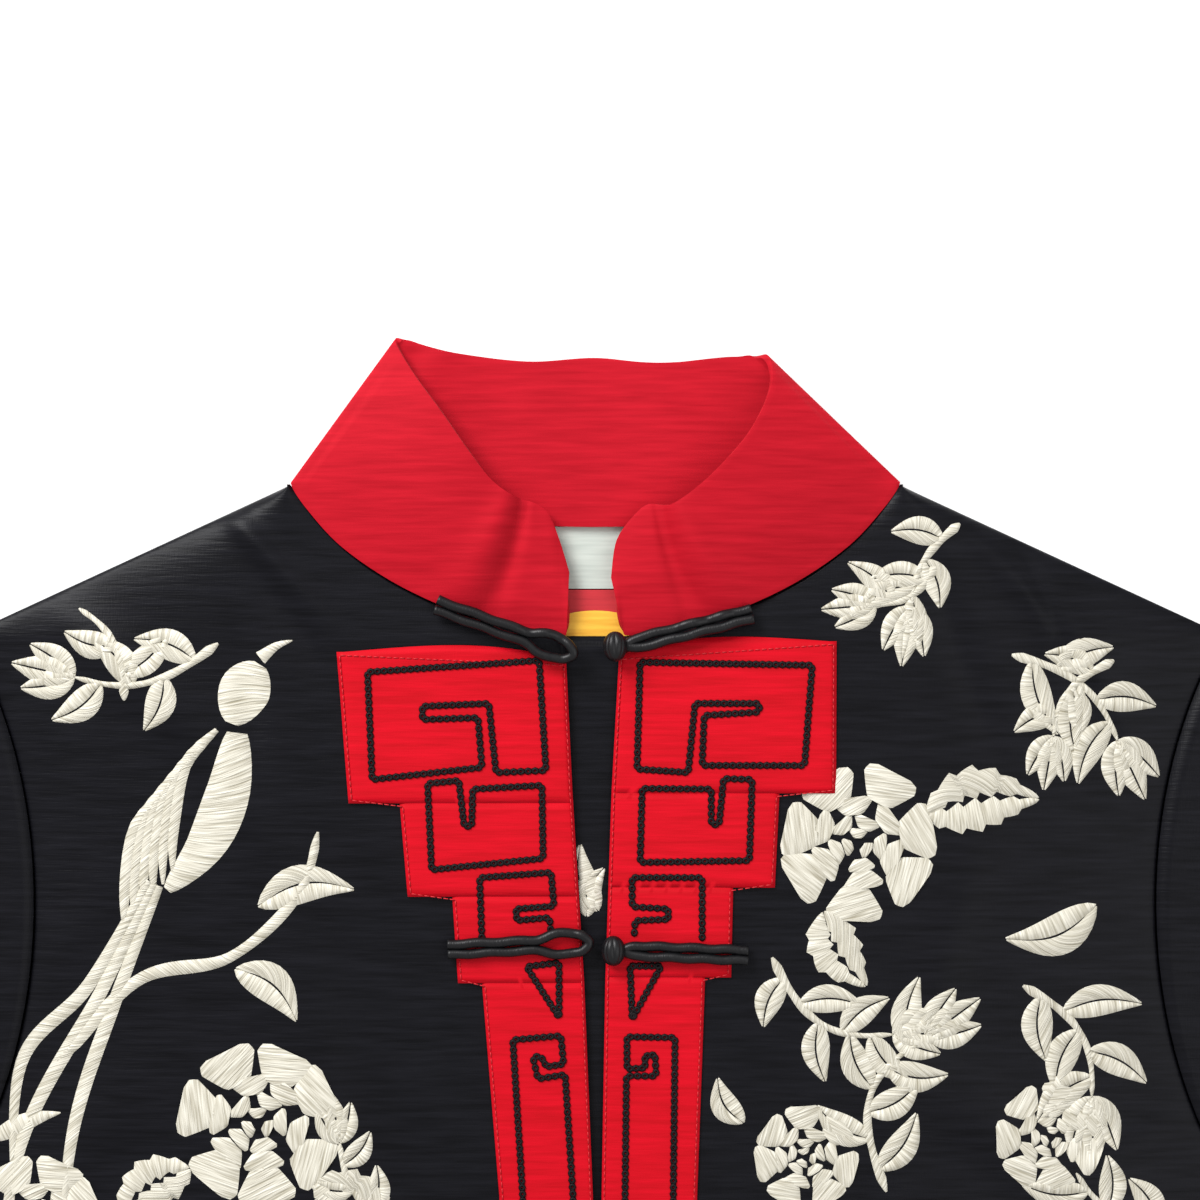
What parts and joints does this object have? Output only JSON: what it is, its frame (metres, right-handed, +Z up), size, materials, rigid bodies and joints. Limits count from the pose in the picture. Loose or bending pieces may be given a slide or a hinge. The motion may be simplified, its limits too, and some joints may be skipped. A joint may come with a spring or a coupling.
{
  "type": "tang jacket",
  "caption": "Black tang jacket laid flat, face up, with a red stand collar, stepped red applique down both fronts, corded frogs and ivory embroidery",
  "frame": {"origin": "on the surface under the middle of the laid jacket", "axes": "+Z up from the surface, +Y towards the collar, +X across the chest to the right as seen from above"},
  "size_m": [1.442, 0.7116, 0.0202],
  "materials": {
    "black_cloth": "fine horizontal rib with a soft satin sheen",
    "red_band": "matte fine weave",
    "red_applique": "slub weave with tone-on-tone edge stitching",
    "black_cord": "satin bias cord",
    "label_pale": "smooth woven",
    "label_red": "woven label",
    "label_yellow": "woven label",
    "ivory_thread": "glossy satin stitch"
  },
  "bodies": {
    "root": {"back_panel": "black_cloth", "front_panel_left": "black_cloth", "front_panel_right": "black_cloth", "underlap": "black_cloth", "sleeve_left": "black_cloth", "sleeve_right": "black_cloth", "collar_band": "red_band", "applique_left": "red_applique", "applique_right": "red_applique", "frog_loop_1": "black_cord", "frog_tail_1": "black_cord", "frog_knot_1": "black_cord", "frog_loop_2": "black_cord", "frog_tail_2": "black_cord", "frog_knot_2": "black_cord", "frog_loop_3": "black_cord", "frog_tail_3": "black_cord", "frog_knot_3": "black_cord", "frog_loop_4": "black_cord", "frog_tail_4": "black_cord", "frog_knot_4": "black_cord", "frog_loop_5": "black_cord", "frog_tail_5": "black_cord", "frog_knot_5": "black_cord", "frog_loop_6": "black_cord", "frog_tail_6": "black_cord", "frog_knot_6": "black_cord", "label_pale": "label_pale", "label_red": "label_red", "label_oval": "label_yellow"}
  },
  "joints": []
}
